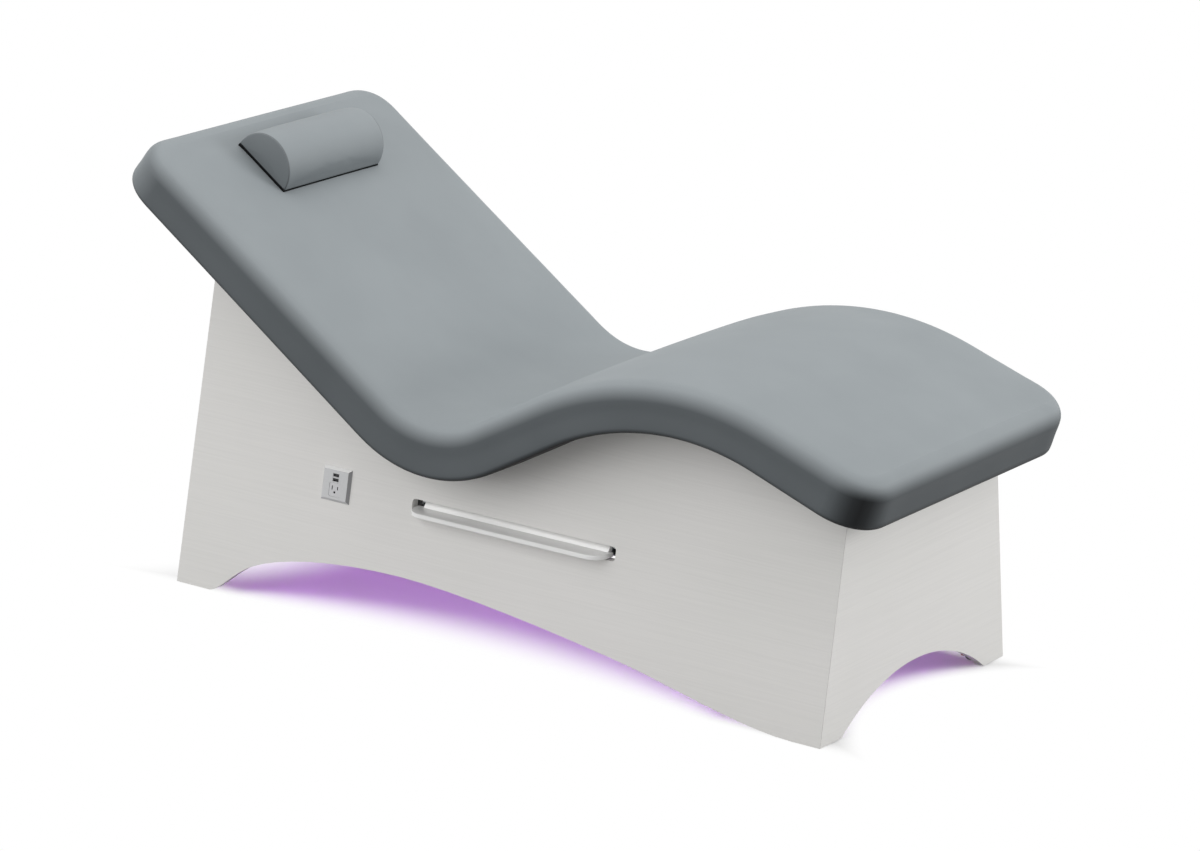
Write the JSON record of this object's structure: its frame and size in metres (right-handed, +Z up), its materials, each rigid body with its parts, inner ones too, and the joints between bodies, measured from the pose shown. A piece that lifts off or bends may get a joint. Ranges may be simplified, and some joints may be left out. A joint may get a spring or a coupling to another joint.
{
  "type": "spa relaxation lounger",
  "caption": "Wave-shaped padded spa lounger on a tapering laminate base with arched cut-outs, a loose half-round pillow, a slide-out side tray and a mains and charging outlet.",
  "frame": {"origin": "under the middle of the overall length and width, on the floor", "axes": "+X towards the foot end, +Y towards the plain side away from the tray, +Z up"},
  "size_m": [1.6922, 0.7612, 0.8727],
  "materials": {
    "laminate": "pale grey decorative laminate on board, faint fine grain",
    "plywood": "raw birch plywood and softwood",
    "upholstery": "smooth grey upholstery vinyl with a soft sheen",
    "foam": "open-cell cushion foam",
    "grip_rubber": "thin ribbed non-slip sheet",
    "tray_board": "white satin laminate with eased edges",
    "tray_mat": "grey felt liner",
    "slide_steel": "zinc-plated rolled steel",
    "profile_aluminium": "satin anodised extrusion",
    "outlet_plate": "light grey moulded plate",
    "outlet_core": "light grey moulded socket block",
    "dark_plastic": "black moulded plastic",
    "white_plastic": "off-white moulded plastic",
    "foot_plastic": "black glass-filled nylon",
    "led_strip": "flexible lighting strip",
    "led_diffuser": "frosted diffuser glowing lilac",
    "lead_sheath": "black flexible sheath"
  },
  "bodies": {
    "base": {"side_panel_near": "laminate", "side_panel_far": "laminate", "end_panel_foot": "laminate", "end_panel_head": "laminate", "rib_head": "plywood", "rib_foot": "plywood", "deck_rail_near": "plywood", "deck_rail_far": "plywood", "corner_post_foot_near": "plywood", "corner_post_foot_far": "plywood", "corner_post_head_near": "plywood", "corner_post_head_far": "plywood", "deck_board_back": "plywood", "deck_board_seat": "plywood", "deck_board_leg": "plywood", "cushion_foam": "foam", "cushion_cover": "upholstery", "tray_beam": "plywood", "tray_cheek_foot": "plywood", "tray_cheek_head": "plywood", "slide_rail_foot": "slide_steel", "slide_rail_head": "slide_steel", "outlet_plate": "outlet_plate", "outlet_housing": "dark_plastic", "outlet_core": "outlet_core", "mains_box": "white_plastic", "mains_box_lid": "white_plastic", "led_driver": "white_plastic", "power_inlet": "dark_plastic", "led_channel_near": "profile_aluminium", "led_strip_near": "led_strip", "led_diffuser_near": "led_diffuser", "led_channel_far": "profile_aluminium", "led_strip_far": "led_strip", "led_diffuser_far": "led_diffuser", "led_channel_foot": "profile_aluminium", "led_strip_foot": "led_strip", "led_diffuser_foot": "led_diffuser", "led_channel_head": "profile_aluminium", "led_strip_head": "led_strip", "led_diffuser_head": "led_diffuser", "outlet_lead": "lead_sheath", "inlet_lead": "lead_sheath", "driver_lead": "lead_sheath", "led_lead": "lead_sheath", "led_link_near_head": "lead_sheath", "led_link_near_foot": "lead_sheath", "led_link_far_head": "lead_sheath"},
    "tray": {"tray_board": "tray_board", "tray_rim": "tray_board", "tray_mat": "tray_mat", "slide_runner_foot": "slide_steel", "slide_runner_head": "slide_steel"},
    "pillow": {"pillow_cover": "upholstery", "pillow_foam": "foam", "pillow_grip": "grip_rubber"},
    "levelling_foot_foot_near": {"levelling_foot_foot_near": "foot_plastic"},
    "levelling_foot_foot_far": {"levelling_foot_foot_far": "foot_plastic"},
    "levelling_foot_head_near": {"levelling_foot_head_near": "foot_plastic"},
    "levelling_foot_head_far": {"levelling_foot_head_far": "foot_plastic"}
  },
  "joints": [
    {"name": "tray_slide", "type": "slide", "parent": "base", "child": "tray", "axis": [0, -1, 0], "range_m": [0, 0.18]},
    {"name": "pillow_slide", "type": "slide", "parent": "base", "child": "pillow", "axis": [0.8226, 0, -0.5686], "range_m": [-0.045, 0.25]},
    {"name": "levelling_foot_near", "type": "slide", "parent": "base", "child": "levelling_foot_foot_near", "axis": [0, 0, -1], "range_m": [0, 0.012]},
    {"name": "levelling_foot_far", "type": "slide", "parent": "base", "child": "levelling_foot_foot_far", "axis": [0, 0, -1], "range_m": [0, 0.012]},
    {"name": "levelling_head_near", "type": "slide", "parent": "base", "child": "levelling_foot_head_near", "axis": [0, 0, -1], "range_m": [0, 0.012]},
    {"name": "levelling_head_far", "type": "slide", "parent": "base", "child": "levelling_foot_head_far", "axis": [0, 0, -1], "range_m": [0, 0.012]}
  ]
}
